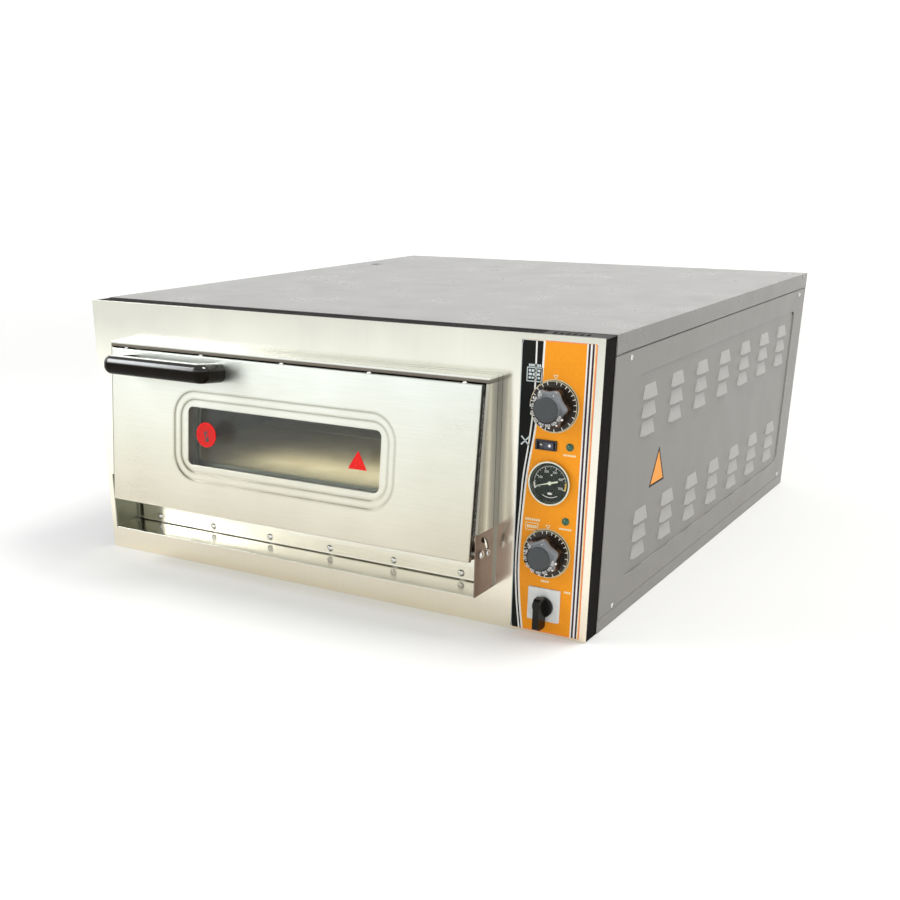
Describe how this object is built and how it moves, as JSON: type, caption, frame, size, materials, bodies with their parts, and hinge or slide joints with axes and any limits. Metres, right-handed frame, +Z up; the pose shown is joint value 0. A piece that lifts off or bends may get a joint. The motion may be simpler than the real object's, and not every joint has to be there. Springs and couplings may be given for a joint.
{
  "type": "deck oven",
  "caption": "Electric deck oven: low sheet-metal cabinet, polished front, leaning drop-down door with window and bow handle, stone-floored chamber, knobs and dial on the right.",
  "frame": {"origin": "centre of the cabinet base, on the surface it stands on", "axes": "+Z up, +X to the right seen from the front, the door faces -Y"},
  "size_m": [0.885, 1.1408, 0.413],
  "materials": {
    "polished_steel": "polished stainless with faint vertical grain",
    "door_steel": "satin stainless",
    "grey_paint": "light grey satin lacquer",
    "black_paint": "black satin enamel",
    "zinc_sheet": "galvanised sheet",
    "chamber_sheet": "aluminised sheet, heat toned",
    "label_print": "printed polycarbonate overlay",
    "wool": "mineral wool",
    "stone": "refractory slab",
    "element_sheath": "oxidised sheath",
    "glass": "clear tempered glass",
    "braid": "braided glass fibre",
    "handle_plastic": "black moulded phenolic",
    "knob_plastic": "dark grey moulded with printed skirt",
    "switch_plastic": "black nylon",
    "bezel_chrome": "bright bezel",
    "pointer_white": "white enamel",
    "lamp_green": "translucent green",
    "marker_red": "red film",
    "plate_silver": "anodised plate",
    "zinc_screw": "zinc plated",
    "shaft_steel": "turned steel",
    "ceramic_white": "steatite"
  },
  "bodies": {
    "cabinet": {"base_tray": "grey_paint", "corner_posts": "zinc_sheet", "front_frame": "black_paint", "control_vent": "grey_paint", "front_fascia": "polished_steel", "control_label": "label_print", "top_lid": "grey_paint", "side_panel_left": "grey_paint", "side_panel_right": "grey_paint", "rear_panel": "grey_paint", "side_panel_screws": "zinc_screw", "rear_panel_screws": "zinc_screw", "chamber_liner": "chamber_sheet", "throat_frame": "door_steel", "insulation_wrap": "wool", "insulation_bottom": "wool", "insulation_rear": "wool", "heat_shield": "zinc_sheet", "steam_flue": "zinc_sheet", "stone_slabs": "stone", "stone_rails": "chamber_sheet", "heating_elements_upper": "element_sheath", "heating_elements_lower": "element_sheath", "sensor_probes": "shaft_steel", "door_surround": "door_steel", "surround_flange": "door_steel", "crumb_ledge": "polished_steel", "ledge_screws": "zinc_screw", "hinge_bracket_left": "door_steel", "hinge_bracket_right": "door_steel", "thermostats": "ceramic_white", "thermometer_case": "bezel_chrome", "thermometer_glass": "glass", "rocker_housing": "switch_plastic", "pilot_lamps": "lamp_green", "cam_switch_plate": "plate_silver", "cam_switch_body": "switch_plastic", "terminal_block": "ceramic_white", "cable_gland": "switch_plastic"},
    "door": {"door_outer_panel": "door_steel", "door_inner_pan": "door_steel", "door_insulation": "wool", "window_glass_outer": "glass", "window_glass_inner": "glass", "window_frame": "chamber_sheet", "window_markers": "marker_red", "door_gasket": "braid", "door_top_screws": "zinc_screw", "door_handle": "handle_plastic", "handle_screws": "zinc_screw", "hinge_ears": "door_steel", "hinge_pivot_screws": "zinc_screw", "hinge_guide_pins": "zinc_screw"},
    "upper_knob_body": {"upper_knob": "knob_plastic", "upper_knob_shaft": "shaft_steel"},
    "lower_knob_body": {"lower_knob": "knob_plastic", "lower_knob_shaft": "shaft_steel"},
    "thermometer_pointer": {"thermometer_needle": "pointer_white"},
    "lamp_rocker": {"rocker_actuator": "switch_plastic"},
    "selector_lever": {"cam_switch_lever": "handle_plastic"}
  },
  "joints": [
    {"name": "door_hinge", "type": "hinge", "parent": "cabinet", "child": "door", "pos_m": [-0.039, -0.5578, 0.1172], "axis": [1, 0, 0], "range_deg": [0, 85]},
    {"name": "upper_knob_turn", "type": "hinge", "parent": "cabinet", "child": "upper_knob_body", "pos_m": [0.375, -0.524, 0.322], "axis": [0, 1, 0], "range_deg": [0, 300]},
    {"name": "lower_knob_turn", "type": "hinge", "parent": "cabinet", "child": "lower_knob_body", "pos_m": [0.375, -0.524, 0.12], "axis": [0, 1, 0], "range_deg": [0, 300]},
    {"name": "selector_turn", "type": "hinge", "parent": "cabinet", "child": "selector_lever", "pos_m": [0.375, -0.524, 0.043], "axis": [0, 1, 0], "range_deg": [-90, 90]},
    {"name": "rocker_tilt", "type": "hinge", "parent": "cabinet", "child": "lamp_rocker", "pos_m": [0.3665, -0.513, 0.27], "axis": [0, 0, 1], "range_deg": [0, 18]},
    {"name": "pointer_turn", "type": "hinge", "parent": "cabinet", "child": "thermometer_pointer", "pos_m": [0.375, -0.516, 0.2195], "axis": [0, 1, 0], "range_deg": [0, 215]}
  ]
}
